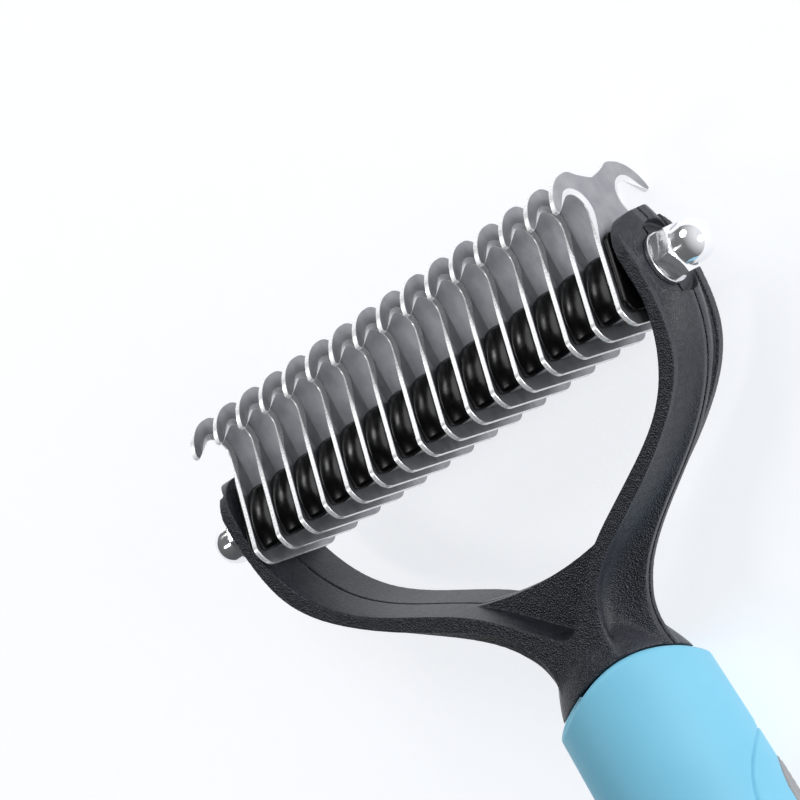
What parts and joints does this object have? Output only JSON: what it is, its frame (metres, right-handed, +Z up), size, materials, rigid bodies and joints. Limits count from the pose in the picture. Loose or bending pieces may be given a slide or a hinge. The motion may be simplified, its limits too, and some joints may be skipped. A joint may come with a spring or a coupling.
{
  "type": "dematting comb",
  "caption": "Dematting comb: a row of double-hooked steel blades clamped on a cross bolt in a black wishbone yoke, on a light blue sleeved handle.",
  "frame": {"origin": "centre of the bounding box's bottom, with the tool lying on its back", "axes": "+Y from the handle to the hooks, +X along the cross bolt, +Z up out of the yoke's front face"},
  "size_m": [0.1012, 0.1894, 0.0261],
  "materials": {
    "blade_steel": "satin faces, polished edges",
    "spacer_black": "glossy moulded",
    "yoke_black": "fine spark-eroded texture",
    "bolt_steel": "zinc plated",
    "nut_chrome": "polished chrome",
    "sleeve_blue": "soft touch, satin",
    "pad_grey": "ridged soft rubber",
    "core_black": "moulded",
    "cap_grey": "fine moulded texture"
  },
  "bodies": {
    "handle": {"yoke_front_half": "yoke_black", "yoke_back_half": "yoke_black", "cross_bolt": "bolt_steel", "washer_left": "bolt_steel", "washer_right": "bolt_steel", "cap_nut_left": "nut_chrome", "cap_nut_right": "nut_chrome", "grip_sleeve": "sleeve_blue", "side_pad_right": "pad_grey", "side_pad_left": "pad_grey", "handle_core": "core_black", "tang_screws": "bolt_steel", "end_cap": "cap_grey"},
    "blade_pack": {"blade_01": "blade_steel", "blade_02": "blade_steel", "blade_03": "blade_steel", "blade_04": "blade_steel", "blade_05": "blade_steel", "blade_06": "blade_steel", "blade_07": "blade_steel", "blade_08": "blade_steel", "blade_09": "blade_steel", "blade_10": "blade_steel", "blade_11": "blade_steel", "blade_12": "blade_steel", "blade_13": "blade_steel", "blade_14": "blade_steel", "blade_15": "blade_steel", "blade_16": "blade_steel", "spacer_01": "spacer_black", "spacer_02": "spacer_black", "spacer_03": "spacer_black", "spacer_04": "spacer_black", "spacer_05": "spacer_black", "spacer_06": "spacer_black", "spacer_07": "spacer_black", "spacer_08": "spacer_black", "spacer_09": "spacer_black", "spacer_10": "spacer_black", "spacer_11": "spacer_black", "spacer_12": "spacer_black", "spacer_13": "spacer_black", "spacer_14": "spacer_black", "spacer_15": "spacer_black", "end_spacer_left": "spacer_black", "end_spacer_right": "spacer_black"}
  },
  "joints": [
    {"name": "blade_pack_tilt", "type": "hinge", "parent": "handle", "child": "blade_pack", "pos_m": [0, 0.07728, 0.01318], "axis": [1, 0, 0], "range_deg": [-15, 25]}
  ]
}
